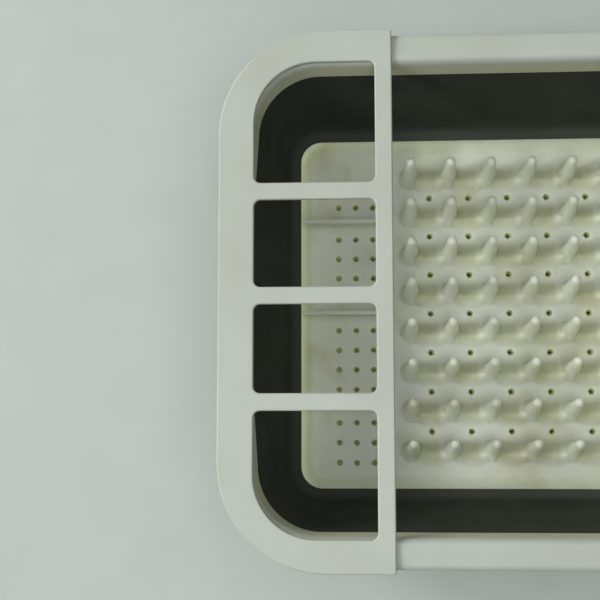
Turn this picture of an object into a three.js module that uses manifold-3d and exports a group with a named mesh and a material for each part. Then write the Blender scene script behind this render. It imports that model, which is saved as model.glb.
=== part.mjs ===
// Collapsible dish drying rack: a peg tray, a folding elastomer wall, a rim and a clip-on cutlery cap.
// Millimetres, +Z up. +X runs along the rack with the cutlery cap at the -X end. The feet stand on z = 0.
import * as THREE from "three";
import { mergeVertices } from "three/addons/utils/BufferGeometryUtils.js";
import Module from "manifold-3d";

const wasm = await Module();
wasm.setup();

// Rim: a hollow moulded channel round the mouth
const RIM_LENGTH = 360;
const RIM_WIDTH = 311;
const RIM_CORNER = 60;
const RIM_FLANGE = 17.5;
const RIM_WALL = 2.4;
const RIM_SKIRT_DEPTH = 24;
const RIM_LIP_DEPTH = 17;
const RIM_LIP_SLOPE = 2.5;
const RIM_LIP_STEP = 1.2;
const RIM_LIP_STEP_DEPTH = 8;
const RIM_OUTER_ROUND = 4;
const RIM_INNER_ROUND = 3;
const RIM_TOP_FALL = 1.2;

// Folding wall: heights and outward flares of its zones, from the rim down to the base
const WALL_THICKNESS = 2.4;
const UPPER_BAND_HEIGHT = 21;
const UPPER_BAND_FLARE = 2.5;
const FOLD_WEB_HEIGHT = 40;
const FOLD_WEB_FLARE = 8.5;
const LOWER_BAND_HEIGHT = 15;
const LOWER_BAND_FLARE = 2.5;
const LEDGE_HEIGHT = 8;
const LEDGE_WIDTH = 7.5;

// Base tray: drain floor with a soft upturned edge on four posts
const BASE_CORNER = 14;
const BASE_EDGE_HEIGHT = 12;
const BASE_EDGE_SWEEP = 8;
const BASE_DRAFT = 2.4;
const BASE_CHAMFER = 2;
const FLOOR_THICKNESS = 3;
const FOOT_INSET = 55.5;
const FOOT_POST_RADIUS = 7;
const FOOT_POST_HEIGHT = 8;
const FOOT_PAD_RADIUS = 6;
const FOOT_PAD_HEIGHT = 2;

// Peg field: round pegs that lean to the rear; a saddle, a low wall hollowed behind, ties each row
const PEG_PITCH = 26;
const PEG_HEIGHT = 31;
const PEG_LEAN = 5.5;
const PEG_FOOT_RADIUS = 8;
const PEG_NECK_RADIUS = 4.5;
const PEG_NECK_HEIGHT = 12;
const PEG_TIP_RADIUS = 3;
const PEG_TO_FLOOR_EDGE = 15.5;
const SADDLE_HEIGHT = 7;
const SADDLE_FRONT = 7;
const SADDLE_CREST = 3.5;
const SADDLE_REAR = 7.5;
const DRAIN_RADIUS = 2.1;

// Cutlery zone of the floor: low dividers and a finer pattern of drain holes
const DIVIDER_SPACING = 61.2;
const DIVIDER_THICKNESS = 2.2;
const DIVIDER_HEIGHT = 11;
const CUTLERY_HOLE_RADIUS = 1.9;
const CUTLERY_HOLE_COLUMNS = 3;
const CUTLERY_PITCH_X = 11.45;
const CUTLERY_PITCH_Y = 13.1;
const CUTLERY_HOLE_TO_DIVIDER = 11;
const CUTLERY_HOLE_TO_EDGE = 7.5;
const CUTLERY_HOLE_TO_REAR_EDGE = 20;
const CUTLERY_HOLE_TO_CAP_EDGE = 11.3;

// Cutlery cap: a plate with four windows and a skirt over the end of the rim
const CAP_LENGTH = 101.6;
const CAP_PLATE = 2.6;
const CAP_SKIRT_WALL = 1.6;
const CAP_SKIRT_DEPTH = 9;
const CAP_FIT_GAP = 0.3;
const CAP_EDGE_ROUND = 2;
const CAP_END_BORDER = 20.8;
const CAP_SIDE_BORDER = 19;
const CAP_BAR = 10.1;
const WINDOW_CORNER = 4;
const WINDOW_END_CORNER = 36;

// Facets
const CORNER_STEPS = 6;
const ROUND_STEPS = 3;
const PEG_SIDES = 8;
const HOLE_SIDES = 6;
const POST_SIDES = 20;
const FLARE_STEPS = 2;
const SADDLE_STEPS = 4;
const CUT_PAST = 1;
const COUNT_SLACK = 0.01;

// Heights over the table, stacked from the feet up to the cap
const padTop = FOOT_PAD_HEIGHT;
const floorBottom = padTop + FOOT_POST_HEIGHT;
const floorTop = floorBottom + FLOOR_THICKNESS;
const baseEdgeTop = floorTop + BASE_EDGE_HEIGHT;
const lowerBandTop = baseEdgeTop + LOWER_BAND_HEIGHT;
const foldWebTop = lowerBandTop + FOLD_WEB_HEIGHT;
const rimLipBottom = foldWebTop + UPPER_BAND_HEIGHT;
const rimTop = rimLipBottom + RIM_LIP_DEPTH;
const capTop = rimTop + CAP_PLATE;

// Insets of the inner faces from the rim's outer outline
const rimLipInset = RIM_FLANGE + RIM_LIP_SLOPE;
const upperFoldInset = rimLipInset + UPPER_BAND_FLARE;
const lowerFoldInset = upperFoldInset + FOLD_WEB_FLARE;
const ledgeInset = lowerFoldInset + LOWER_BAND_FLARE;
const baseInset = ledgeInset + LEDGE_WIDTH;
const floorInset = baseInset + BASE_EDGE_SWEEP;
const capOverhang = CAP_FIT_GAP + CAP_SKIRT_WALL;

// Plan positions measured from the centre of the rim
const capLeft = -RIM_LENGTH / 2 - capOverhang;
const capRight = capLeft + CAP_LENGTH;
const floorHalfLength = RIM_LENGTH / 2 - floorInset;
const floorHalfWidth = RIM_WIDTH / 2 - floorInset;

const whitePlastic = { color: 0xdfe3da, roughness: 0.5, metalness: 0 };
const basePlastic = { color: 0xd6dac9, roughness: 0.55, metalness: 0 };
const elastomer = { color: 0x2a2b28, roughness: 0.8, metalness: 0 };

// The corner radius shrinks evenly from the rim's outline to the edge of the base.
function cornerAt(inset) {
  return RIM_CORNER + ((BASE_CORNER - RIM_CORNER) * inset) / baseInset;
}

// A rounded rectangle at one height, counter-clockwise from above.
function outline({ inset, z }) {
  const radius = cornerAt(inset);
  const centreX = RIM_LENGTH / 2 - inset - radius;
  const centreY = RIM_WIDTH / 2 - inset - radius;
  const points = [];
  for (let corner = 0; corner < 4; corner += 1) {
    const signX = corner === 0 || corner === 3 ? 1 : -1;
    const signY = corner < 2 ? 1 : -1;
    for (let step = 0; step <= CORNER_STEPS; step += 1) {
      const angle = ((corner + step / CORNER_STEPS) * Math.PI) / 2;
      const x = signX * centreX + radius * Math.cos(angle);
      const y = signY * centreY + radius * Math.sin(angle);
      points.push(new THREE.Vector3(x, y, z));
    }
  }
  return points;
}

// A skin through a list of outlines, up the outside and down the inside.
// A ring joins its last outline to its first; a body is closed by a flat face at each end.
function loft(stations, { ring }) {
  const loops = stations.map(outline);
  const count = loops[0].length;
  const index = [];
  const spans = ring ? loops.length : loops.length - 1;
  for (let span = 0; span < spans; span += 1) {
    const low = span * count;
    const high = ((span + 1) % loops.length) * count;
    for (let i = 0; i < count; i += 1) {
      const next = (i + 1) % count;
      index.push(low + i, low + next, high + next, low + i, high + next, high + i);
    }
  }
  const last = (loops.length - 1) * count;
  for (let i = 1; i < count - 1 && !ring; i += 1) {
    index.push(0, i + 1, i, last, last + i, last + i + 1);
  }
  const geometry = new THREE.BufferGeometry().setFromPoints(loops.flat());
  geometry.setIndex(index);
  return geometry;
}

// Stations along a quarter ellipse from one (inset, z) to another; `sharp` is the corner it rounds off.
function roundStations(from, sharp, to) {
  const stations = [];
  for (let step = 0; step <= ROUND_STEPS; step += 1) {
    const angle = ((step / ROUND_STEPS) * Math.PI) / 2;
    const near = 1 - Math.sin(angle);
    const far = 1 - Math.cos(angle);
    stations.push({
      inset: sharp.inset + (from.inset - sharp.inset) * near + (to.inset - sharp.inset) * far,
      z: sharp.z + (from.z - sharp.z) * near + (to.z - sharp.z) * far,
    });
  }
  return stations;
}

// A closed geometry as a solid for joining and cutting, without the slivers at a lathe's poles.
function solidOf(geometry) {
  const bare = geometry.clone();
  bare.deleteAttribute("normal");
  bare.deleteAttribute("uv");
  const merged = mergeVertices(bare);
  const corners = merged.index.array;
  const triangles = [];
  for (let i = 0; i < corners.length; i += 3) {
    const [a, b, c] = corners.slice(i, i + 3);
    if (a !== b && b !== c && c !== a) triangles.push(a, b, c);
  }
  const vertProperties = merged.attributes.position.array;
  return new wasm.Manifold(
    new wasm.Mesh({ numProp: 3, vertProperties, triVerts: new Uint32Array(triangles) }),
  );
}

function geometryOf(solid) {
  const { vertProperties, triVerts } = solid.getMesh();
  const geometry = new THREE.BufferGeometry();
  geometry.setAttribute("position", new THREE.BufferAttribute(vertProperties, 3));
  geometry.setIndex(new THREE.BufferAttribute(triVerts, 1));
  return geometry;
}

// A flat shape in plan, raised from one height to another.
function prism(shape, bottom, top) {
  const geometry = new THREE.ExtrudeGeometry(shape, {
    depth: top - bottom,
    bevelEnabled: false,
    curveSegments: CORNER_STEPS,
  });
  return solidOf(geometry.translate(0, 0, bottom));
}

// A shape in the XZ plane, given thickness evenly to both sides of y.
function upright(shape, thickness, y) {
  const geometry = new THREE.ExtrudeGeometry(shape, {
    depth: thickness,
    bevelEnabled: false,
    curveSegments: CORNER_STEPS,
  });
  return solidOf(geometry.rotateX(Math.PI / 2).translate(0, y + thickness / 2, 0));
}

function post(x, y, radius, bottom, top, sides) {
  const geometry = new THREE.CylinderGeometry(radius, radius, top - bottom, sides);
  return geometry.rotateX(Math.PI / 2).translate(x, y, (bottom + top) / 2);
}

// Evenly spaced places, as many as fit between two ends, counted from the first.
function placesBetween(first, end, pitch) {
  const count = Math.floor((end - first) / pitch + COUNT_SLACK) + 1;
  return Array.from({ length: Math.max(count, 0) }, (_, i) => first + i * pitch);
}

// Peg columns count back from the +X edge of the floor to the cap; rows lie evenly about the middle.
function pegColumns() {
  const lastX = floorHalfLength - PEG_TO_FLOOR_EDGE;
  const room = lastX - (capRight + PEG_FOOT_RADIUS);
  const count = Math.floor(room / PEG_PITCH + COUNT_SLACK) + 1;
  return Array.from({ length: count }, (_, i) => lastX - (count - 1 - i) * PEG_PITCH);
}

function pegRows() {
  const room = 2 * (floorHalfWidth - PEG_TO_FLOOR_EDGE);
  const count = Math.floor(room / PEG_PITCH + COUNT_SLACK) + 1;
  return Array.from({ length: count }, (_, i) => (i - (count - 1) / 2) * PEG_PITCH);
}

// Dividers lie evenly about the middle, and each outermost lane keeps room for cutlery.
function dividerRows() {
  const outerLane = CUTLERY_HOLE_TO_DIVIDER + CUTLERY_PITCH_Y + CUTLERY_HOLE_TO_EDGE;
  const side = Math.floor((floorHalfWidth - outerLane) / DIVIDER_SPACING + COUNT_SLACK);
  return Array.from({ length: 2 * side + 1 }, (_, i) => (i - side) * DIVIDER_SPACING);
}

// Rim: outer skirt, a rounded top flange that falls outwards, and a stepped inner lip, open underneath
function rimGeometry() {
  const skirtBottom = rimTop - RIM_SKIRT_DEPTH;
  const outerTop = rimTop - RIM_TOP_FALL;
  const stepZ = rimTop - RIM_LIP_STEP_DEPTH;
  const lipSlope = (RIM_LIP_SLOPE - RIM_LIP_STEP) / RIM_LIP_DEPTH;
  const stepInset = RIM_FLANGE + lipSlope * RIM_LIP_STEP_DEPTH;
  return loft(
    [
      { inset: 0, z: skirtBottom },
      ...roundStations(
        { inset: 0, z: outerTop - RIM_OUTER_ROUND },
        { inset: 0, z: outerTop },
        { inset: RIM_OUTER_ROUND, z: outerTop },
      ),
      ...roundStations(
        { inset: RIM_FLANGE - RIM_INNER_ROUND, z: rimTop },
        { inset: RIM_FLANGE, z: rimTop },
        { inset: RIM_FLANGE, z: rimTop - RIM_INNER_ROUND },
      ),
      { inset: stepInset, z: stepZ },
      { inset: stepInset + RIM_LIP_STEP, z: stepZ },
      { inset: rimLipInset, z: rimLipBottom },
      { inset: rimLipInset - RIM_WALL, z: rimLipBottom },
      { inset: RIM_FLANGE - RIM_WALL, z: rimTop - RIM_WALL },
      { inset: RIM_WALL, z: outerTop - RIM_WALL },
      { inset: RIM_WALL, z: skirtBottom },
    ],
    { ring: true },
  );
}

// One zone of the wall, from its inner face at each height; the outer face runs parallel to it.
function wallZone(innerFace) {
  const outerFace = innerFace.map(({ inset, z }) => ({ inset: inset - WALL_THICKNESS, z }));
  return loft([...outerFace, ...innerFace.toReversed()], { ring: true });
}

function upperBandGeometry() {
  return wallZone([
    { inset: upperFoldInset, z: foldWebTop },
    { inset: rimLipInset, z: rimLipBottom },
  ]);
}

function foldWebGeometry() {
  return wallZone([
    { inset: lowerFoldInset, z: lowerBandTop },
    { inset: upperFoldInset, z: foldWebTop },
  ]);
}

function lowerBandGeometry() {
  return wallZone([
    { inset: baseInset, z: baseEdgeTop },
    { inset: ledgeInset, z: baseEdgeTop + LEDGE_HEIGHT },
    { inset: lowerFoldInset, z: lowerBandTop },
  ]);
}

// The tray's skin: underside, drafted outer wall, edge, and the sweep of the edge into the floor
function trayShell() {
  const edgeOutside = baseInset - WALL_THICKNESS;
  return solidOf(
    loft(
      [
        { inset: edgeOutside + BASE_DRAFT + BASE_CHAMFER, z: floorBottom },
        { inset: edgeOutside + BASE_DRAFT, z: floorBottom + BASE_CHAMFER },
        { inset: edgeOutside, z: baseEdgeTop },
        ...roundStations(
          { inset: baseInset, z: baseEdgeTop },
          { inset: baseInset, z: floorTop },
          { inset: floorInset, z: floorTop },
        ),
      ],
      { ring: false },
    ),
  );
}

// Dividers run from the end wall to the cap's inner edge, sunk into the floor and the drafted end wall.
function dividers() {
  const left = -RIM_LENGTH / 2 + baseInset - WALL_THICKNESS / 2;
  const bottom = floorTop - FLOOR_THICKNESS / 2;
  const top = floorTop + DIVIDER_HEIGHT;
  const shape = new THREE.Shape();
  shape.moveTo(left + BASE_DRAFT, bottom);
  shape.lineTo(capRight, bottom);
  shape.lineTo(capRight, floorTop);
  shape.quadraticCurveTo(capRight, top, capRight - DIVIDER_HEIGHT, top);
  shape.lineTo(left, top);
  return dividerRows().map((y) => upright(shape, DIVIDER_THICKNESS, y));
}

// Rows of drain holes in the cutlery zone, counted in each lane from its divider.
// The rear lane stays plain along the rear edge.
function cutleryHoleRows() {
  const lanes = dividerRows();
  const laneEnds = lanes.slice(1).map((y) => y - CUTLERY_HOLE_TO_DIVIDER);
  laneEnds.push(floorHalfWidth - CUTLERY_HOLE_TO_REAR_EDGE);
  const rows = lanes.flatMap((divider, lane) =>
    placesBetween(divider + CUTLERY_HOLE_TO_DIVIDER, laneEnds[lane], CUTLERY_PITCH_Y),
  );
  const frontStart = CUTLERY_HOLE_TO_DIVIDER - lanes[0];
  const frontEnd = floorHalfWidth - CUTLERY_HOLE_TO_EDGE;
  const frontRows = placesBetween(frontStart, frontEnd, CUTLERY_PITCH_Y);
  return [...rows, ...frontRows.map((y) => -y)];
}

function drainHoles() {
  const places = [];
  const columns = pegColumns();
  const rows = pegRows();
  for (const x of columns.slice(1)) {
    for (const y of rows.slice(1)) {
      places.push({ x: x - PEG_PITCH / 2, y: y - PEG_PITCH / 2, radius: DRAIN_RADIUS });
    }
  }
  for (let column = 0; column < CUTLERY_HOLE_COLUMNS; column += 1) {
    const x = capRight - CUTLERY_HOLE_TO_CAP_EDGE - column * CUTLERY_PITCH_X;
    for (const y of cutleryHoleRows()) places.push({ x, y, radius: CUTLERY_HOLE_RADIUS });
  }
  return places;
}

function footPlaces() {
  const x = RIM_LENGTH / 2 - FOOT_INSET;
  const y = RIM_WIDTH / 2 - FOOT_INSET;
  return [
    { name: "foot_pad_front_left", x: -x, y: -y },
    { name: "foot_pad_front_right", x, y: -y },
    { name: "foot_pad_rear_left", x: -x, y },
    { name: "foot_pad_rear_right", x, y },
  ];
}

function baseTrayGeometry() {
  const overlap = FLOOR_THICKNESS / 2;
  const posts = footPlaces().map(({ x, y }) =>
    solidOf(post(x, y, FOOT_POST_RADIUS, padTop, floorBottom + overlap, POST_SIDES)),
  );
  const holes = drainHoles().map(({ x, y, radius }) =>
    solidOf(post(x, y, radius, floorBottom - CUT_PAST, floorTop + CUT_PAST, HOLE_SIDES)),
  );
  let tray = trayShell();
  for (const piece of [...dividers(), ...posts]) tray = tray.add(piece);
  for (const hole of holes) tray = tray.subtract(hole);
  return geometryOf(tray);
}

// A peg: flared foot, tapered shank and domed tip, sheared so that it leans but stands flat
function pegSolid(x) {
  const profile = [new THREE.Vector2(0, 0)];
  for (let step = 0; step <= FLARE_STEPS; step += 1) {
    const rise = step / FLARE_STEPS;
    const flare = (PEG_FOOT_RADIUS - PEG_NECK_RADIUS) * (1 - rise) ** 2;
    profile.push(new THREE.Vector2(PEG_NECK_RADIUS + flare, PEG_NECK_HEIGHT * rise));
  }
  const dome = PEG_TIP_RADIUS * Math.SQRT1_2;
  const shoulder = PEG_HEIGHT - PEG_TIP_RADIUS;
  profile.push(new THREE.Vector2(PEG_TIP_RADIUS, shoulder));
  profile.push(new THREE.Vector2(dome, shoulder + dome));
  profile.push(new THREE.Vector2(0, PEG_HEIGHT));
  const lean = new THREE.Matrix4().makeShear(0, 0, 0, 0, 0, PEG_LEAN / PEG_HEIGHT);
  const geometry = new THREE.LatheGeometry(profile, PEG_SIDES).rotateX(Math.PI / 2);
  return solidOf(geometry.applyMatrix4(lean).translate(x, 0, 0));
}

// The saddle runs from the first peg to the last: a steep front, a crest before the pegs' axes
// and a rear slope that runs out level on the floor.
function saddle(columns) {
  const section = new THREE.Shape();
  section.moveTo(-SADDLE_FRONT, 0);
  section.lineTo(SADDLE_REAR, 0);
  section.quadraticCurveTo((SADDLE_REAR - SADDLE_CREST) / 2, 0, -SADDLE_CREST, SADDLE_HEIGHT);
  const geometry = new THREE.ExtrudeGeometry(section, {
    depth: columns[columns.length - 1] - columns[0],
    bevelEnabled: false,
    curveSegments: SADDLE_STEPS,
  });
  geometry.rotateX(Math.PI / 2).rotateZ(Math.PI / 2);
  return solidOf(geometry.translate(columns[0], 0, 0));
}

function pegRowGeometry() {
  const columns = pegColumns();
  let row = saddle(columns);
  for (const x of columns) row = row.add(pegSolid(x));
  return geometryOf(row);
}

// A window between two y limits; the corners named large follow the rounded end of the cap.
function windowShape(left, right, low, high, largeLow, largeHigh) {
  const large = Math.min(WINDOW_END_CORNER, high - low - WINDOW_CORNER);
  const lowRound = largeLow ? large : WINDOW_CORNER;
  const highRound = largeHigh ? large : WINDOW_CORNER;
  const shape = new THREE.Shape();
  shape.moveTo(left, low + lowRound);
  shape.absarc(left + lowRound, low + lowRound, lowRound, Math.PI, 1.5 * Math.PI, false);
  shape.absarc(right - WINDOW_CORNER, low + WINDOW_CORNER, WINDOW_CORNER, -Math.PI / 2, 0, false);
  shape.absarc(right - WINDOW_CORNER, high - WINDOW_CORNER, WINDOW_CORNER, 0, Math.PI / 2, false);
  shape.absarc(left + highRound, high - highRound, highRound, Math.PI / 2, Math.PI, false);
  return shape;
}

// Windows lie between the bars, and each bar stands over a divider of the floor.
function capWindows() {
  const left = capLeft + CAP_END_BORDER;
  const right = capRight - CAP_BAR;
  const side = RIM_WIDTH / 2 + capOverhang - CAP_SIDE_BORDER;
  const bars = dividerRows();
  const lows = [-side, ...bars.map((y) => y + CAP_BAR / 2)];
  const highs = [...bars.map((y) => y - CAP_BAR / 2), side];
  return lows.map((low, i) =>
    prism(
      windowShape(left, right, low, highs[i], i === 0, i === lows.length - 1),
      rimTop - CUT_PAST,
      capTop + CUT_PAST,
    ),
  );
}

function cutleryCapGeometry() {
  const skirtBottom = rimTop - CAP_SKIRT_DEPTH;
  const lid = solidOf(
    loft(
      [
        { inset: -capOverhang, z: skirtBottom },
        ...roundStations(
          { inset: -capOverhang, z: capTop - CAP_EDGE_ROUND },
          { inset: -capOverhang, z: capTop },
          { inset: CAP_EDGE_ROUND - capOverhang, z: capTop },
        ),
      ],
      { ring: false },
    ),
  );
  const rimRoom = solidOf(
    loft(
      [
        { inset: -CAP_FIT_GAP, z: skirtBottom - CUT_PAST },
        { inset: -CAP_FIT_GAP, z: rimTop },
      ],
      { ring: false },
    ),
  );
  const beyond = new THREE.BoxGeometry(RIM_LENGTH * 2, RIM_WIDTH * 2, capTop * 2);
  beyond.translate(capRight + RIM_LENGTH, 0, capTop);
  let cap = lid.subtract(rimRoom).subtract(solidOf(beyond));
  for (const opening of capWindows()) cap = cap.subtract(opening);
  return geometryOf(cap);
}

const rack = new THREE.Group();

function addMesh(name, geometry, finish) {
  const mesh = new THREE.Mesh(geometry, new THREE.MeshStandardMaterial(finish));
  mesh.name = name;
  rack.add(mesh);
  return mesh;
}

addMesh("base_tray", baseTrayGeometry(), basePlastic);
pegRows().forEach((y, i) => {
  addMesh(`peg_row_${i + 1}`, pegRowGeometry(), basePlastic).position.set(0, y, floorTop);
});
for (const { name, x, y } of footPlaces()) {
  addMesh(name, post(x, y, FOOT_PAD_RADIUS, 0, padTop, POST_SIDES), elastomer);
}
addMesh("wall_lower_band", lowerBandGeometry(), elastomer);
addMesh("wall_fold_web", foldWebGeometry(), elastomer);
addMesh("wall_upper_band", upperBandGeometry(), elastomer);
addMesh("rim", rimGeometry(), whitePlastic);
addMesh("cutlery_cap", cutleryCapGeometry(), whitePlastic);

// The cap's skirt stands out at one end only, so the whole rack shifts to centre its box on the origin.
rack.position.x = capOverhang / 2;

const dishRack = new THREE.Group();
dishRack.add(rack);

export default dishRack;
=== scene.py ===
"""Collapsible dish drying rack: smooth mouldings and their finishes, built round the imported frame.

Metres, +Z up. +X runs along the rack, away from the cutlery cap.
"""
import math

import bmesh
import bpy
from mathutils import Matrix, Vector
from mathutils.geometry import tessellate_polygon


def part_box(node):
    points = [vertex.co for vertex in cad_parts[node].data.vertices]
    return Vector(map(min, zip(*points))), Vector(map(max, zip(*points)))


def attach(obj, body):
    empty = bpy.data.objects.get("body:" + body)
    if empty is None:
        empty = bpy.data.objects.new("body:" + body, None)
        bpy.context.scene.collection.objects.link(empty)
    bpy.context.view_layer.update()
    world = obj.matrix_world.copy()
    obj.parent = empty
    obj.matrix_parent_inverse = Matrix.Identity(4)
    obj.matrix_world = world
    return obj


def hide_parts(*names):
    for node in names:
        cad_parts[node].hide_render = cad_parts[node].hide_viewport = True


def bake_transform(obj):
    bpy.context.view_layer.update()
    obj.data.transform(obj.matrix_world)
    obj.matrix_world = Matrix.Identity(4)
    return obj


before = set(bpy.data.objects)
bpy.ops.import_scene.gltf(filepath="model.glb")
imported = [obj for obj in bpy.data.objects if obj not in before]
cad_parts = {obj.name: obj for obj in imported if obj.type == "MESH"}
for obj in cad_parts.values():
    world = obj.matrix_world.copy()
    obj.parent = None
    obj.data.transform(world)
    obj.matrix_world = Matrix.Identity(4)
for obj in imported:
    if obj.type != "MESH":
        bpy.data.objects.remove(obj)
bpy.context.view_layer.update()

# Rim
RIM_CORNER = 0.060
RIM_FLANGE = 0.0175
RIM_WALL = 0.0024
RIM_LIP_BEND = 0.0016
RIM_LIP_BEND_DEPTH = 0.0100
RIM_LIP_EASE = 0.003
RIM_LIP_RELIEF = 0.004
RIM_OUTER_ROUND = 0.004
RIM_INNER_ROUND = 0.005
RIM_TOP_FALL = 0.0012
EDGE_ROUND = 0.0006

# Folding wall
WALL_THICKNESS = 0.0024
HINGE_THICKNESS = 0.0010
HINGE_REACH = 0.005
WALL_STEP = 0.001
WALL_SOFTENING = 0.0025
SOFTENING_SHARES = (-1, -0.5, 0, 0.5, 1)
WALL_BOW = 0.0015
LEDGE_HEIGHT = 0.008
LEDGE_WIDTH = 0.0075

# Base tray
BASE_CORNER = 0.014
BASE_EDGE_SWEEP = 0.008
BASE_DRAFT = 0.0024
BASE_CHAMFER = 0.002
FLOOR_THICKNESS = 0.003
FOOT_POST_RADIUS = 0.007
DIVIDER_SPACING = 0.0612
DIVIDER_THICKNESS = 0.0022
DIVIDER_HEIGHT = 0.011
SUNK = 0.001

# Pegs and the low saddles between their feet
PEG_LEAN = 0.0055
PEG_NECK_RADIUS = 0.0045
PEG_NECK_HEIGHT = 0.012
PEG_TIP_RADIUS = 0.003
PEG_TIP_FLAT = 0.0003
SADDLE_HIGH = 0.009
SADDLE_LOW = 0.0024
SADDLE_FRONT_AT_PEG = 0.005
SADDLE_FRONT = 0.0105
SADDLE_CREST = 0.0025
SADDLE_REAR = 0.0075

# Drain holes
DRAIN_RADIUS = 0.0021
CUTLERY_HOLE_RADIUS = 0.0019
HOLE_FLARE = 0.0005
HOLE_DRAFT = 0.0013
CUTLERY_HOLE_COLUMNS = 3
CUTLERY_PITCH_X = 0.01145
CUTLERY_PITCH_Y = 0.0131
CUTLERY_HOLE_TO_DIVIDER = 0.011
CUTLERY_HOLE_TO_EDGE = 0.0075
CUTLERY_HOLE_TO_REAR_EDGE = 0.020
CUTLERY_HOLE_TO_CAP_EDGE = 0.0113

# Cutlery cap
CAP_SKIRT_WALL = 0.0016
CAP_EDGE_ROUND = 0.001
CAP_END_CORNER = 0.0015
CAP_END_BORDER = 0.0208
CAP_SIDE_BORDER = 0.019
CAP_BAR = 0.0101
WINDOW_CORNER = 0.004
WINDOW_END_CORNER = 0.036
WINDOW_EDGE_ROUND = 0.001

# Colours of the finishes, as on a screen, 0 to 255
WHITE_CLEAN = (181, 188, 177)
WHITE_WORN = (175, 181, 169)
WHITE_LIP_TINT = (184, 185, 158)
CREAM_CLEAN = (218, 224, 208)
CREAM_WORN = (209, 214, 194)
CREAM_STAIN = (186, 180, 140)
# Residue between the pegs, darkened further as painted shade there
CREAM_SHADE_AND_RESIDUE = (184, 186, 153)
# Hole walls: residue, and a painted tint of the light that comes through the translucent floor
CREAM_HOLE_RESIDUE_AND_LIGHT = (184, 190, 126)
RUBBER_CLEAN = (57, 59, 53)
RUBBER_WORN = (48, 50, 44)
# Ledge: painted light on its upward face
RUBBER_PAINTED_LIGHT_ON_LEDGE = (68, 71, 64)
TABLE_CLEAN = (185, 193, 186)
TABLE_WORN = (181, 189, 182)

# Gloss, grain and depth of the finishes
WHITE_ROUGHNESS = 0.42
CREAM_ROUGHNESS = 0.48
RUBBER_ROUGHNESS = 0.7
TABLE_ROUGHNESS = 0.8
ROUGHNESS_SPREAD = 0.06
PLASTIC_SHEEN = 0.5
RUBBER_SHEEN = 0.12
PLASTIC_GRAIN = 0.00003
RUBBER_GRAIN = 0.00004
TABLE_GRAIN = 0.00002
GRAIN_STRENGTH = 0.35
CREAM_SOAK_DEPTH = 0.008
SOAK_BY_COLOUR = (1, 1, 0.85)

# Noises: scale and detail of each, and the middle part of its values that is used
CLOUD_NOISE = (22, 4)
STAIN_NOISE = (34, 6)
GLOSS_NOISE = (70, 3)
GRAIN_NOISE = (1400, 2)
SHADE_AND_RESIDUE_NOISE = (45, 3)
NOISE_MIDDLE = (0.3, 0.7)
STAIN_MIDDLE = (0.56, 0.74)
STAIN_STRENGTH = 0.5

# Residue and painted shade between the pegs: its place in each cell, and the cosines between which it
# fades in
SHADE_AND_RESIDUE_LEFT = 0.0025
SHADE_AND_RESIDUE_REAR = 0.0005
SHADE_AND_RESIDUE_FADE_X = (-0.7, 0.2)
SHADE_AND_RESIDUE_FADE_Y = (-0.88, 0.57)
SHADE_AND_RESIDUE_LEAST = 0.6

# Stage; a light has a name, a place, a target, a width and a power
TABLE_HALF = 4
LIGHTS = (
    ("window", (-2.4, 1.8, 1.2), (0, 0, 0.05), 1.4, 50),
    ("key", (-2.2, -0.3, 2.2), (0, 0, 0.05), 0.8, 40),
    ("overhead", (0, 0, 2.2), (0, 0, 0), 2.2, 17),
    ("fill", (0, -1.7, 2.0), (0, 0, 0.02), 2, 9),
)
WORLD_COLOUR = (0.95, 1, 0.96, 1)
WORLD_STRENGTH = 0.14
CAMERA_LENS = 67.6
CAMERA_PLACE = (-0.0945, -0.0782, 0.7627)
CAMERA_TURN_DEGREES = (6.695, 3.426, -0.427)

# Facets
CORNER_STEPS = 20
SIDE_STEPS = 14
ROUND_STEPS = 6
LATHE_SIDES = 28
SADDLE_STEPS = 14
SHARP_ANGLE = math.radians(38)
SLIVER = 0.000003
FLAT_FACE_WEIGHT = 100

# Sizes and places that the frame gives
rim_low, rim_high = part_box("rim")
cap_low, cap_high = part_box("cutlery_cap")
row_names = sorted(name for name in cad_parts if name.startswith("peg_row_"))
pad_names = sorted(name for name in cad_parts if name.startswith("foot_pad_"))
row_boxes = [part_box(name) for name in row_names]
rim_middle = (rim_low + rim_high) / 2
rim_half = (rim_high - rim_low) / 2
floor_top = row_boxes[0][0].z
floor_bottom = floor_top - FLOOR_THICKNESS
base_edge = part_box("base_tray")[1].z
lower_fold_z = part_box("wall_lower_band")[1].z
upper_fold_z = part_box("wall_fold_web")[1].z
lip_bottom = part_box("wall_upper_band")[1].z
rim_top = rim_high.z


def inset_of(node):
    """How far a node's widest outline lies inside the rim's outer edge, in plan."""
    low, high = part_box(node)
    return rim_half.x - (high.x - low.x) / 2


lip_inset = inset_of("wall_upper_band") + WALL_THICKNESS
upper_fold_inset = inset_of("wall_fold_web") + WALL_THICKNESS
lower_fold_inset = inset_of("wall_lower_band") + WALL_THICKNESS
base_inset = inset_of("base_tray") + WALL_THICKNESS
ledge_inset = base_inset - LEDGE_WIDTH
floor_inset = base_inset + BASE_EDGE_SWEEP
row_ys = [(low.y + high.y) / 2 for low, high in row_boxes]
peg_pitch = row_ys[1] - row_ys[0]
peg_foot_radius = (row_boxes[0][1].y - row_boxes[0][0].y) / 2
peg_height = row_boxes[0][1].z - floor_top
first_peg_x = row_boxes[0][0].x + peg_foot_radius
last_peg_x = row_boxes[0][1].x - peg_foot_radius
peg_columns = round((last_peg_x - first_peg_x) / peg_pitch) + 1
peg_xs = [first_peg_x + i * peg_pitch for i in range(peg_columns)]
divider_ys = [-DIVIDER_SPACING, 0, DIVIDER_SPACING]
cap_end_corner = RIM_CORNER + rim_low.x - cap_low.x
cap_corners = (cap_end_corner, CAP_END_CORNER, CAP_END_CORNER, cap_end_corner)


def eased(share):
    """0 to 1 with a soft start and a soft end."""
    return share * share * (3 - 2 * share)


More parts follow.
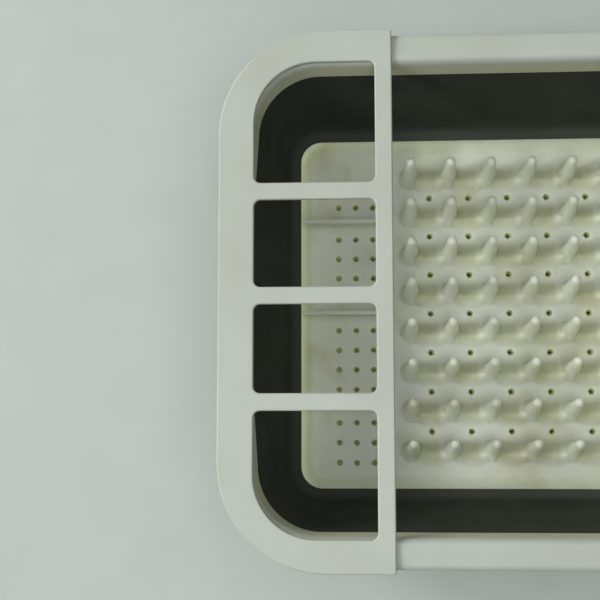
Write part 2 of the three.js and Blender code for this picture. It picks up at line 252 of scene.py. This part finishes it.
def finished(name, points, faces):
    """A closed mesh object with its faces pointing out, smooth but for its sharp edges."""
    mesh = bpy.data.meshes.new(name)
    mesh.from_pydata(points, [], faces)
    outward = bmesh.new()
    outward.from_mesh(mesh)
    bmesh.ops.recalc_face_normals(outward, faces=outward.faces)
    outward.to_mesh(mesh)
    outward.free()
    piece = bpy.data.objects.new(name, mesh)
    bpy.context.scene.collection.objects.link(piece)
    smooth(piece)
    return piece


def smooth(piece):
    piece.data.shade_smooth()
    piece.data.set_sharp_from_angle(angle=SHARP_ANGLE)


def outline(inset, z):
    """The rack's rounded rectangle at one inset from the rim's outer edge, counter-clockwise."""
    radius = RIM_CORNER + (BASE_CORNER - RIM_CORNER) * inset / base_inset
    centre_x = rim_half.x - inset - radius
    centre_y = rim_half.y - inset - radius
    corners = []
    for corner, (sign_x, sign_y) in enumerate(((1, 1), (-1, 1), (-1, -1), (1, -1))):
        for step in range(CORNER_STEPS + 1):
            angle = (corner + step / CORNER_STEPS) * math.pi / 2
            x = rim_middle.x + sign_x * centre_x + radius * math.cos(angle)
            y = sign_y * centre_y + radius * math.sin(angle)
            corners.append(Vector((x, y, z)))
    points = []
    for i, point in enumerate(corners):
        points.append(point)
        if i % (CORNER_STEPS + 1) == CORNER_STEPS:
            following = corners[(i + 1) % len(corners)]
            points += [point.lerp(following, s / SIDE_STEPS) for s in range(1, SIDE_STEPS)]
    return points


def skin(loops, ring):
    """Points and faces through equal loops; a ring joins the last to the first, a body is capped."""
    count = len(loops[0])
    faces = []
    for span in range(len(loops) if ring else len(loops) - 1):
        low, high = span * count, (span + 1) % len(loops) * count
        for i in range(count):
            j = (i + 1) % count
            faces.append((low + i, low + j, high + j, high + i))
    if not ring:
        faces.append(tuple(reversed(range(count))))
        faces.append(tuple((len(loops) - 1) * count + i for i in range(count)))
    return [point for loop in loops for point in loop], faces


def rounded(profile, closed=True):
    """A profile of (inset, z, radius) corners as (inset, z) points, each corner eased by its radius."""
    points = []
    for i, (inset, z, radius) in enumerate(profile):
        corner = Vector((inset, z))
        if radius == 0 or (not closed and i in (0, len(profile) - 1)):
            points.append(corner)
            continue
        before = Vector(profile[i - 1][:2]) - corner
        after = Vector(profile[(i + 1) % len(profile)][:2]) - corner
        start = corner + before.normalized() * min(radius, before.length / 2)
        end = corner + after.normalized() * min(radius, after.length / 2)
        for step in range(ROUND_STEPS + 1):
            t = step / ROUND_STEPS
            points.append(start * (1 - t) ** 2 + corner * 2 * t * (1 - t) + end * t ** 2)
    return points


def relieved(point, share):
    """The lip bows outwards at the end under the cap, most midway along that end."""
    if point.x > rim_middle.x:
        return point
    along = max(0, 1 - (point.y / (rim_half.y - RIM_CORNER)) ** 2)
    return point - Vector((RIM_LIP_RELIEF * along * share, 0, 0))


def lathe(profile, x, y):
    """A turned body from (radius, z) points; its first and last radius are closed by flat ends."""
    loops = []
    for radius, z in profile:
        angles = [2 * math.pi * i / LATHE_SIDES for i in range(LATHE_SIDES)]
        loops.append([(x + radius * math.cos(a), y + radius * math.sin(a), z) for a in angles])
    return skin(loops, ring=False)


def gathered(name, bodies):
    """One object made of several separate closed bodies."""
    points, faces = [], []
    for body_points, body_faces in bodies:
        offset = len(points)
        points += body_points
        faces += [tuple(offset + i for i in face) for face in body_faces]
    return finished(name, points, faces)


def joined(piece, others, operation):
    """Unites or cuts a piece with other closed objects, which are then gone."""
    for other in others:
        boolean = piece.modifiers.new("join", "BOOLEAN")
        boolean.operation = operation
        boolean.solver = "MANIFOLD"
        boolean.object = other
    shaped = piece.evaluated_get(bpy.context.evaluated_depsgraph_get())
    mesh = bpy.data.meshes.new_from_object(shaped)
    whole = bmesh.new()
    whole.from_mesh(mesh)
    bmesh.ops.dissolve_degenerate(whole, dist=SLIVER, edges=whole.edges)
    whole.to_mesh(mesh)
    whole.free()
    piece.modifiers.clear()
    piece.data = mesh
    for other in others:
        bpy.data.objects.remove(other)


def even_shading(piece):
    """Lets wide flat faces stay flat beside their eased edges."""
    smooth(piece)
    weighted = piece.modifiers.new("even_shading", "WEIGHTED_NORMAL")
    weighted.keep_sharp = True
    weighted.weight = FLAT_FACE_WEIGHT


# Rim: a channel with a rounded top and an inner lip that steepens downwards
def make_rim():
    profile = [
        (0, rim_low.z, EDGE_ROUND),
        (0, rim_top - RIM_TOP_FALL, RIM_OUTER_ROUND),
        (RIM_FLANGE, rim_top, RIM_INNER_ROUND),
        (RIM_FLANGE + RIM_LIP_BEND, rim_top - RIM_LIP_BEND_DEPTH, RIM_LIP_EASE),
        (lip_inset, lip_bottom, EDGE_ROUND),
        (lip_inset - RIM_WALL, lip_bottom, 0),
        (RIM_FLANGE - RIM_WALL, rim_top - RIM_WALL, EDGE_ROUND),
        (RIM_WALL, rim_top - RIM_TOP_FALL - RIM_WALL, EDGE_ROUND),
        (RIM_WALL, rim_low.z, EDGE_ROUND),
    ]
    loops = []
    for inset, z in rounded(profile):
        loops.append([relieved(point, min(1, inset / RIM_FLANGE)) for point in outline(inset, z)])
    rim = finished("rim_frame", *skin(loops, ring=True))
    even_shading(rim)
    return rim


# Folding wall: one elastomer skin with a thin hinge line above and below the part that folds
def wall_inset(z):
    knots = [
        (base_edge, base_inset),
        (base_edge + LEDGE_HEIGHT, ledge_inset),
        (lower_fold_z, lower_fold_inset),
        (upper_fold_z, upper_fold_inset),
        (lip_bottom, lip_inset),
    ]
    for (z0, inset0), (z1, inset1) in zip(knots, knots[1:]):
        if z <= z1:
            return inset0 + (inset1 - inset0) * (z - z0) / (z1 - z0)
    return lip_inset


def softened_inset(z):
    """The wall's inner face with its corners eased, true at its two fixed ends."""
    reach = min(WALL_SOFTENING, z - base_edge, lip_bottom - z)
    samples = [wall_inset(z + reach * share) for share in SOFTENING_SHARES]
    return sum(samples) / len(samples)


def wall_thickness(z):
    thinning = 0
    for hinge_z in (lower_fold_z + HINGE_REACH, upper_fold_z - HINGE_REACH):
        thinning = max(thinning, 1 - abs(z - hinge_z) / HINGE_REACH)
    return WALL_THICKNESS + (HINGE_THICKNESS - WALL_THICKNESS) * eased(thinning)


def bowed(point):
    """A long straight stretch of the soft wall bows inwards a little, most at half height."""
    rise = math.sin(math.pi * (point.z - base_edge) / (lip_bottom - base_edge))
    from_middle = point.x - rim_middle.x
    along_x = max(0, 1 - (from_middle / (rim_half.x - RIM_CORNER)) ** 2)
    along_y = max(0, 1 - (point.y / (rim_half.y - RIM_CORNER)) ** 2)
    shift_x = -math.copysign(WALL_BOW * rise * along_y, from_middle) if along_x == 0 else 0
    shift_y = -math.copysign(WALL_BOW * rise * along_x, point.y) if along_y == 0 else 0
    return point + Vector((shift_x, shift_y, 0))


def make_wall():
    steps = round((lip_bottom - base_edge) / WALL_STEP)
    heights = [base_edge + (lip_bottom - base_edge) * i / steps for i in range(steps + 1)]
    inner = [(softened_inset(z), z) for z in heights]
    outer = [(inset - wall_thickness(z), z) for inset, z in inner]
    loops = []
    for inset, z in outer + inner[::-1]:
        share = eased(max(0, (z - lower_fold_z) / (lip_bottom - lower_fold_z)))
        loops.append([relieved(bowed(point), share) for point in outline(inset, z)])
    return finished("folding_wall", *skin(loops, ring=True))


# Base tray: floor, upturned edge, dividers, posts, pegs and saddles in one moulding
def tray_shell():
    outside = base_inset - WALL_THICKNESS
    profile = [
        (outside + BASE_DRAFT + BASE_CHAMFER, floor_bottom, 0),
        (outside + BASE_DRAFT, floor_bottom + BASE_CHAMFER, BASE_CHAMFER / 2),
        (outside, base_edge, EDGE_ROUND),
        (base_inset, base_edge, EDGE_ROUND),
    ]
    stations = rounded(profile, closed=False)
    for step in range(1, 2 * ROUND_STEPS + 1):
        angle = step / (2 * ROUND_STEPS) * math.pi / 2
        inset = base_inset + BASE_EDGE_SWEEP * (1 - math.cos(angle))
        stations.append((inset, base_edge - (base_edge - floor_top) * math.sin(angle)))
    return finished("base_tray_moulding", *skin([outline(i, z) for i, z in stations], ring=False))


def peg_profile():
    shoulder = peg_height - PEG_TIP_RADIUS
    profile = [(peg_foot_radius, floor_top - SUNK)]
    for step in range(ROUND_STEPS + 1):
        t = step / ROUND_STEPS
        flare = (peg_foot_radius - PEG_NECK_RADIUS) * (1 - math.sqrt(1 - (1 - t ** 2) ** 2))
        profile.append((PEG_NECK_RADIUS + flare, floor_top + PEG_NECK_HEIGHT * t ** 2))
    for step in range(ROUND_STEPS):
        angle = step / ROUND_STEPS * math.pi / 2
        z = floor_top + shoulder + PEG_TIP_RADIUS * math.sin(angle)
        profile.append((PEG_TIP_RADIUS * math.cos(angle), z))
    profile.append((PEG_TIP_FLAT, floor_top + peg_height))
    return profile


def peg(x, y):
    """A turned peg, sheared so that it leans to the rear but stands flat."""
    points, faces = lathe(peg_profile(), x, y)
    slope = PEG_LEAN / peg_height
    return [(px, py + slope * (pz - floor_top), pz) for px, py, pz in points], faces


def saddle_section(x, top, front, crest, rear):
    """One cross-section of a saddle: a soft front, a rounded crest and a hollow slope to the rear."""
    section = [(x, front, floor_top - SUNK)]
    for step in range(SADDLE_STEPS + 1):
        t = step / SADDLE_STEPS
        section.append((x, front + (crest - front) * t, floor_top + top * eased(t)))
    for step in range(1, SADDLE_STEPS + 1):
        t = step / SADDLE_STEPS
        fall = (1 - t) ** 2 * (1 + 2 * t * (1 - t) ** 2)
        section.append((x, crest + (rear - crest) * t, floor_top + top * fall))
    return section + [(x, rear, floor_top - SUNK)]


def saddle(y):
    """The low wall along one row, lowest and furthest forward midway between two pegs."""
    loops = []
    for i in range((peg_columns - 1) * SADDLE_STEPS + 1):
        x = first_peg_x + i * peg_pitch / SADDLE_STEPS
        swell = 1 - (i % SADDLE_STEPS / SADDLE_STEPS * 2 - 1) ** 2
        top = SADDLE_HIGH + (SADDLE_LOW - SADDLE_HIGH) * swell
        front = SADDLE_FRONT_AT_PEG + (SADDLE_FRONT - SADDLE_FRONT_AT_PEG) * swell
        loops.append(saddle_section(x, top, y - front, y - SADDLE_CREST * swell, y + SADDLE_REAR))
    return skin(loops, ring=False)


def divider(y):
    """A low wall from the end of the tray to the cap's inner edge, with a rounded free end."""
    left = rim_low.x + base_inset - WALL_THICKNESS / 2
    right = cap_high.x
    top = floor_top + DIVIDER_HEIGHT
    side = [(left + BASE_DRAFT, floor_top - SUNK), (right, floor_top - SUNK)]
    for step in range(ROUND_STEPS * 2 + 1):
        angle = step / (ROUND_STEPS * 2) * math.pi / 2
        x = right - DIVIDER_HEIGHT * (1 - math.cos(angle))
        side.append((x, floor_top + DIVIDER_HEIGHT * math.sin(angle)))
    side.append((left, top))
    half = DIVIDER_THICKNESS / 2
    return skin([[(x, y + shift, z) for x, z in side] for shift in (-half, half)], ring=False)


def post(pad_name):
    low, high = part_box(pad_name)
    middle = (low + high) / 2
    profile = [
        (FOOT_POST_RADIUS - EDGE_ROUND, high.z),
        (FOOT_POST_RADIUS, high.z + EDGE_ROUND),
        (FOOT_POST_RADIUS, floor_bottom + SUNK),
    ]
    return lathe(profile, middle.x, middle.y)


def hole_places():
    places = []
    for x in peg_xs[1:]:
        for y in row_ys[1:]:
            places.append((x - peg_pitch / 2, y - peg_pitch / 2, DRAIN_RADIUS))
    inner_end = DIVIDER_SPACING - CUTLERY_HOLE_TO_DIVIDER
    floor_end = rim_half.y - floor_inset
    lanes = [
        (0, inner_end, 1),
        (0, inner_end, -1),
        (DIVIDER_SPACING, floor_end - CUTLERY_HOLE_TO_REAR_EDGE, 1),
        (DIVIDER_SPACING, floor_end - CUTLERY_HOLE_TO_EDGE, -1),
    ]
    for column in range(CUTLERY_HOLE_COLUMNS):
        x = cap_high.x - CUTLERY_HOLE_TO_CAP_EDGE - column * CUTLERY_PITCH_X
        for lane_start, lane_end, side in lanes:
            y = lane_start + CUTLERY_HOLE_TO_DIVIDER
            while y < lane_end + HOLE_FLARE:
                places.append((x, side * y, CUTLERY_HOLE_RADIUS))
                y += CUTLERY_PITCH_Y
    return places


def hole(x, y, radius):
    """A drain hole's cutter, flared at both faces of the floor and narrower at the lower one."""
    profile = [
        (radius - HOLE_DRAFT + 2 * HOLE_FLARE, floor_bottom - HOLE_FLARE),
        (radius - HOLE_DRAFT, floor_bottom + HOLE_FLARE),
        (radius, floor_top - HOLE_FLARE),
        (radius + HOLE_FLARE / 3, floor_top - HOLE_FLARE / 3),
        (radius + 3 * HOLE_FLARE, floor_top + HOLE_FLARE),
    ]
    return lathe(profile, x, y)


def make_base():
    tray = tray_shell()
    pegs = gathered("pegs", [peg(x, y) for x in peg_xs for y in row_ys])
    saddles = gathered("saddles", [saddle(y) for y in row_ys])
    walls = gathered("dividers", [divider(y) for y in divider_ys])
    posts = gathered("posts", [post(name) for name in pad_names])
    holes = gathered("holes", [hole(*place) for place in hole_places()])
    joined(tray, [saddles, pegs, walls, posts], "UNION")
    joined(tray, [holes], "DIFFERENCE")
    even_shading(tray)
    return tray


def make_pad(name):
    """A soft foot pad: rounded underneath, with a shallow hollow so that it stands on a ring."""
    low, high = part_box(name)
    middle = (low + high) / 2
    radius = (high.x - low.x) / 2
    hollow = radius / 2
    profile = [
        (hollow / 4, low.z + EDGE_ROUND / 2),
        (hollow, low.z + EDGE_ROUND / 2),
        (hollow + EDGE_ROUND, low.z),
        (radius - EDGE_ROUND, low.z),
        (radius - EDGE_ROUND / 3, low.z + EDGE_ROUND / 3),
        (radius, low.z + EDGE_ROUND),
        (radius, high.z),
    ]
    return finished(f"soft_{name}", *lathe(profile, middle.x, middle.y))


# Cutlery cap: a plate with four windows and a skirt over the rim's end
def rounded_box(low, high, radii, inset, z):
    """A rectangle with a radius for each corner, drawn in by an inset, counter-clockwise from low."""
    corners = (
        (low[0], low[1], 1, 1),
        (high[0], low[1], -1, 1),
        (high[0], high[1], -1, -1),
        (low[0], high[1], 1, -1),
    )
    points = []
    for quarter, ((x, y, into_x, into_y), radius) in enumerate(zip(corners, radii)):
        centre = Vector((x + into_x * radius, y + into_y * radius))
        for step in range(CORNER_STEPS + 1):
            angle = math.pi + (quarter + step / CORNER_STEPS) * math.pi / 2
            reach = radius - inset
            points.append((centre.x + reach * math.cos(angle), centre.y + reach * math.sin(angle), z))
    return points


def cap_openings():
    """Low corner, high corner and corner radii of each window, between the cap's bars."""
    left = cap_low.x + CAP_END_BORDER
    right = cap_high.x - CAP_BAR
    side = cap_high.y - CAP_SIDE_BORDER
    lows = [-side] + [y + CAP_BAR / 2 for y in divider_ys]
    highs = [y - CAP_BAR / 2 for y in divider_ys] + [side]
    openings = []
    for i, (low, high) in enumerate(zip(lows, highs)):
        first = WINDOW_END_CORNER if i == 0 else WINDOW_CORNER
        last = WINDOW_END_CORNER if i == len(lows) - 1 else WINDOW_CORNER
        openings.append(((left, low), (right, high), (first, WINDOW_CORNER, WINDOW_CORNER, last)))
    return openings


def edge_rings(top_round, bottom_round, sign):
    """(inset, z) up the side of the cap's plate, with both edges eased; sign is -1 for a window."""
    rings = []
    for step in range(ROUND_STEPS + 1):
        angle = step / ROUND_STEPS * math.pi / 2
        inset = sign * bottom_round * (1 - math.sin(angle))
        rings.append((inset, rim_top + bottom_round * (1 - math.cos(angle))))
    for step in range(ROUND_STEPS + 1):
        angle = step / ROUND_STEPS * math.pi / 2
        inset = sign * top_round * (1 - math.cos(angle))
        rings.append((inset, cap_high.z - top_round * (1 - math.sin(angle))))
    return rings


def cap_plate():
    """The flat plate, drawn by its outline and its windows and closed between them."""
    contours = [(cap_low, cap_high, cap_corners, 1, CAP_EDGE_ROUND)]
    contours += [(*window, -1, WINDOW_EDGE_ROUND) for window in cap_openings()]
    points, faces, bottoms, tops = [], [], [], []
    for low, high, radii, sign, top_round in contours:
        rings = edge_rings(top_round, EDGE_ROUND / 2, sign)
        loops = [rounded_box(low, high, radii, inset, z) for inset, z in rings]
        ring_points, ring_faces = skin(loops, ring=False)
        offset = len(points)
        count = len(loops[0])
        points += ring_points
        faces += [tuple(offset + i for i in face) for face in ring_faces[:-2]]
        bottoms.append(list(range(offset, offset + count)))
        tops.append(list(range(offset + len(ring_points) - count, offset + len(ring_points))))
    for side in (bottoms, tops):
        order = [i for loop in side for i in loop]
        flat = tessellate_polygon([[Vector(points[i]) for i in loop] for loop in side])
        faces += [tuple(order[i] for i in triangle) for triangle in flat]
    return finished("cutlery_frame", points, faces)


def cap_skirt():
    """The skirt follows the cap's outline from one end of the inner edge round to the other."""
    sections = []
    top = (rim_top + cap_high.z) / 2
    for inset, z in ((0, top), (0, cap_low.z), (CAP_SKIRT_WALL, cap_low.z), (CAP_SKIRT_WALL, top)):
        loop = rounded_box(cap_low, cap_high, cap_corners, inset, z)
        arcs = loop[3 * (CORNER_STEPS + 1):] + loop[:CORNER_STEPS + 1]
        ends = [(cap_high.x, arcs[0][1], z), (cap_high.x, arcs[-1][1], z)]
        sections.append([ends[0], *arcs, ends[1]])
    return finished("cap_skirt", *skin(list(zip(*sections)), ring=False))


def make_cap():
    cap = cap_plate()
    joined(cap, [cap_skirt()], "UNION")
    even_shading(cap)
    return cap


# Materials
def srgb(colour):
    """A screen colour of 0 to 255 as the linear colour that a shader takes."""
    channels = [value / 255 for value in colour]
    linear = [c / 12.92 if c <= 0.04045 else ((c + 0.055) / 1.055) ** 2.4 for c in channels]
    return (*linear, 1)


def noise(tree, scale, detail):
    place = tree.nodes.new("ShaderNodeTexCoord")
    texture = tree.nodes.new("ShaderNodeTexNoise")
    texture.inputs["Scale"].default_value = scale
    texture.inputs["Detail"].default_value = detail
    tree.links.new(place.outputs["Object"], texture.inputs["Vector"])
    return texture.outputs["Fac"]


def spread(tree, value, low, high, source=NOISE_MIDDLE):
    """Maps a source range, such as the middle of a noise, onto low to high and holds it there."""
    node = tree.nodes.new("ShaderNodeMapRange")
    node.inputs["From Min"].default_value = source[0]
    node.inputs["From Max"].default_value = source[1]
    node.inputs["To Min"].default_value = low
    node.inputs["To Max"].default_value = high
    tree.links.new(value, node.inputs["Value"])
    return node.outputs["Result"]


def blended(tree, factor, first, second):
    node = tree.nodes.new("ShaderNodeMix")
    node.data_type = "RGBA"
    tree.links.new(factor, node.inputs["Factor"])
    for socket, colour in (("A", first), ("B", second)):
        target = next(s for s in node.inputs if s.name == socket and s.type == "RGBA")
        if isinstance(colour, tuple):
            target.default_value = colour
        else:
            tree.links.new(colour, target)
    return next(s for s in node.outputs if s.type == "RGBA")


def bump(tree, height, distance, strength):
    node = tree.nodes.new("ShaderNodeBump")
    node.inputs["Distance"].default_value = distance
    node.inputs["Strength"].default_value = strength
    tree.links.new(height, node.inputs["Height"])
    return node.outputs["Normal"]


def worked_out(tree, operation, *values):
    """A sum on sockets and numbers."""
    node = tree.nodes.new("ShaderNodeMath")
    node.operation = operation
    for socket, value in zip(node.inputs, values):
        if isinstance(value, (int, float)):
            socket.default_value = value
        else:
            tree.links.new(value, socket)
    return node.outputs["Value"]


def place_axes(tree):
    """The X, Y and Z of a place on the piece, in the rack's frame at rest."""
    place = tree.nodes.new("ShaderNodeTexCoord")
    axes = tree.nodes.new("ShaderNodeSeparateXYZ")
    tree.links.new(place.outputs["Object"], axes.inputs["Vector"])
    return axes.outputs


def within(tree, value, low, high):
    """1 where a value lies in a range, 0 elsewhere."""
    return worked_out(tree, "COMPARE", value, (low + high) / 2, (high - low) / 2)


def product(tree, first, *others):
    for other in others:
        first = worked_out(tree, "MULTIPLY", first, other)
    return first


def inside(tree, x, y, inset):
    """1 inside the rectangle at one inset from the rim's outer edge, 0 outside it."""
    reach_x = rim_half.x - inset
    reach_y = rim_half.y - inset
    along_x = within(tree, x, rim_middle.x - reach_x, rim_middle.x + reach_x)
    return product(tree, along_x, within(tree, y, -reach_y, reach_y))


def shade_and_residue_in_saddles(tree):
    """1 in the saddles of each peg row, fading to 0 around them: residue of water there, darkened
    further as painted shade between the pegs.
    """
    x, y, z = place_axes(tree)
    half = peg_pitch / 2
    spans = (
        (x, peg_xs[0], peg_xs[-1], peg_xs[0] + half - SHADE_AND_RESIDUE_LEFT, SHADE_AND_RESIDUE_FADE_X),
        (y, row_ys[0] - half, row_ys[-1] + half, row_ys[0] + SHADE_AND_RESIDUE_REAR, SHADE_AND_RESIDUE_FADE_Y),
    )
    amount = spread(tree, noise(tree, *SHADE_AND_RESIDUE_NOISE), SHADE_AND_RESIDUE_LEAST, 1)
    turns = 2 * math.pi / peg_pitch
    for along, first, last, crest, fade in spans:
        phase = worked_out(tree, "MULTIPLY_ADD", along, turns, -turns * crest)
        wave = spread(tree, worked_out(tree, "COSINE", phase), 0, 1, fade)
        amount = product(tree, amount, wave, within(tree, along, first, last))
    return product(tree, amount, within(tree, z, floor_top - HOLE_FLARE / 2, base_edge))


def in_stains(tree):
    """Faint blotches all over the moulding."""
    return spread(tree, noise(tree, *STAIN_NOISE), 0, STAIN_STRENGTH, STAIN_MIDDLE)


def hole_residue_and_light(tree):
    """1 on the walls of the drain holes, which lie between the two faces of the floor: an olive tone
    that is partly residue and partly a painted tint of the light that comes through the translucent
    floor.
    """
    x, y, z = place_axes(tree)
    depth = within(tree, z, floor_bottom + HOLE_FLARE / 2, floor_top - HOLE_FLARE)
    return product(tree, inside(tree, x, y, floor_inset), depth)


def on_lip(tree):
    """1 on the rim's inner lip, tinted warmer, fading to 0 towards its rounded edge."""
    x, y, z = place_axes(tree)
    fade = spread(tree, z, 1, 0, (rim_top - RIM_LIP_BEND_DEPTH, rim_top - RIM_TOP_FALL))
    return product(tree, inside(tree, x, y, RIM_FLANGE), fade, within(tree, z, rim_low.z, rim_top))


def ledge_painted_light(tree):
    """1 on the ledge round the base, painted paler as the light that falls on its upward face, fading
    to 0 up the wall.
    """
    x, y, z = place_axes(tree)
    fade = spread(tree, z, 1, 0, (base_edge + LEDGE_HEIGHT / 2, base_edge + LEDGE_HEIGHT))
    above_base = within(tree, z, base_edge - EDGE_ROUND, rim_top)
    return product(tree, inside(tree, x, y, ledge_inset), fade, above_base)


def moulded(name, clean, worn, roughness, grain, sheen=PLASTIC_SHEEN, soak_depth=0, marks=()):
    """A cloudy tone with marks on it, uneven gloss, a fine grain and light that soaks in.

    Each mark is a pair: a function that says where it lies, and its colour.
    """
    material = bpy.data.materials.new(name)
    material.use_nodes = True
    tree = material.node_tree
    shader = tree.nodes["Principled BSDF"]
    clouds = spread(tree, noise(tree, *CLOUD_NOISE), 0, 1)
    tone = blended(tree, clouds, srgb(clean), srgb(worn))
    for place, colour in marks:
        tone = blended(tree, place(tree), tone, srgb(colour))
    tree.links.new(tone, shader.inputs["Base Color"])
    rough_low = roughness - ROUGHNESS_SPREAD
    rough_high = roughness + ROUGHNESS_SPREAD
    gloss = spread(tree, noise(tree, *GLOSS_NOISE), rough_low, rough_high)
    tree.links.new(gloss, shader.inputs["Roughness"])
    relief = bump(tree, noise(tree, *GRAIN_NOISE), grain, GRAIN_STRENGTH)
    tree.links.new(relief, shader.inputs["Normal"])
    shader.inputs["Specular IOR Level"].default_value = sheen
    shader.inputs["Subsurface Weight"].default_value = 1 if soak_depth else 0
    shader.inputs["Subsurface Scale"].default_value = soak_depth
    shader.inputs["Subsurface Radius"].default_value = SOAK_BY_COLOUR
    return material


# Stage
def make_floor():
    corners = [(x * TABLE_HALF, y * TABLE_HALF, 0) for x, y in ((-1, -1), (1, -1), (1, 1), (-1, 1))]
    floor = finished("table", corners, [(0, 1, 2, 3)])
    paper = moulded("table_paper", TABLE_CLEAN, TABLE_WORN, TABLE_ROUGHNESS, TABLE_GRAIN)
    floor.data.materials.append(paper)


def make_light(name, place, target, size, power):
    light = bpy.data.lights.new(name, "AREA")
    light.shape = "DISK"
    light.size = size
    light.energy = power
    lamp = bpy.data.objects.new(name, light)
    lamp.location = place
    lamp.rotation_euler = (Vector(target) - Vector(place)).to_track_quat("-Z", "Y").to_euler()
    bpy.context.scene.collection.objects.link(lamp)


def make_camera():
    camera = bpy.data.objects.new("camera", bpy.data.cameras.new("camera"))
    camera.data.lens = CAMERA_LENS
    camera.location = CAMERA_PLACE
    camera.rotation_mode = "ZYX"
    camera.rotation_euler = [math.radians(angle) for angle in CAMERA_TURN_DEGREES]
    bpy.context.scene.collection.objects.link(camera)
    bpy.context.scene.camera = camera


white = moulded(
    "white_plastic", WHITE_CLEAN, WHITE_WORN, WHITE_ROUGHNESS, PLASTIC_GRAIN,
    marks=[(on_lip, WHITE_LIP_TINT)],
)
cream_marks = [
    (in_stains, CREAM_STAIN),
    # residue with painted shade between the pegs
    (shade_and_residue_in_saddles, CREAM_SHADE_AND_RESIDUE),
    # residue with painted light in the holes
    (hole_residue_and_light, CREAM_HOLE_RESIDUE_AND_LIGHT),
]
cream = moulded(
    "base_plastic", CREAM_CLEAN, CREAM_WORN, CREAM_ROUGHNESS, PLASTIC_GRAIN,
    soak_depth=CREAM_SOAK_DEPTH, marks=cream_marks,
)
rubber = moulded(
    "wall_elastomer", RUBBER_CLEAN, RUBBER_WORN, RUBBER_ROUGHNESS, RUBBER_GRAIN,
    # the ledge mark is painted light
    sheen=RUBBER_SHEEN, marks=[(ledge_painted_light, RUBBER_PAINTED_LIGHT_ON_LEDGE)],
)

rim = make_rim()
rim.data.materials.append(white)
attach(rim, "rim")
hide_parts("rim")

wall = make_wall()
wall.data.materials.append(rubber)
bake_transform(wall)
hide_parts("wall_lower_band", "wall_fold_web", "wall_upper_band")

base = make_base()
base.data.materials.clear()
base.data.materials.append(cream)
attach(base, "base")
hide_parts("base_tray", *row_names)

cap = make_cap()
cap.data.materials.clear()
cap.data.materials.append(white)
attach(cap, "cutlery_cap")
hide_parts("cutlery_cap")

for pad_name in pad_names:
    pad = make_pad(pad_name)
    pad.data.materials.append(rubber)
    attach(pad, "base")
    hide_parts(pad_name)

make_floor()
for light in LIGHTS:
    make_light(*light)
make_camera()

world = bpy.data.worlds.new("studio")
bpy.context.scene.world = world
world.use_nodes = True
background = world.node_tree.nodes["Background"]
background.inputs["Color"].default_value = WORLD_COLOUR
background.inputs["Strength"].default_value = WORLD_STRENGTH
bpy.context.scene.view_settings.view_transform = "Standard"
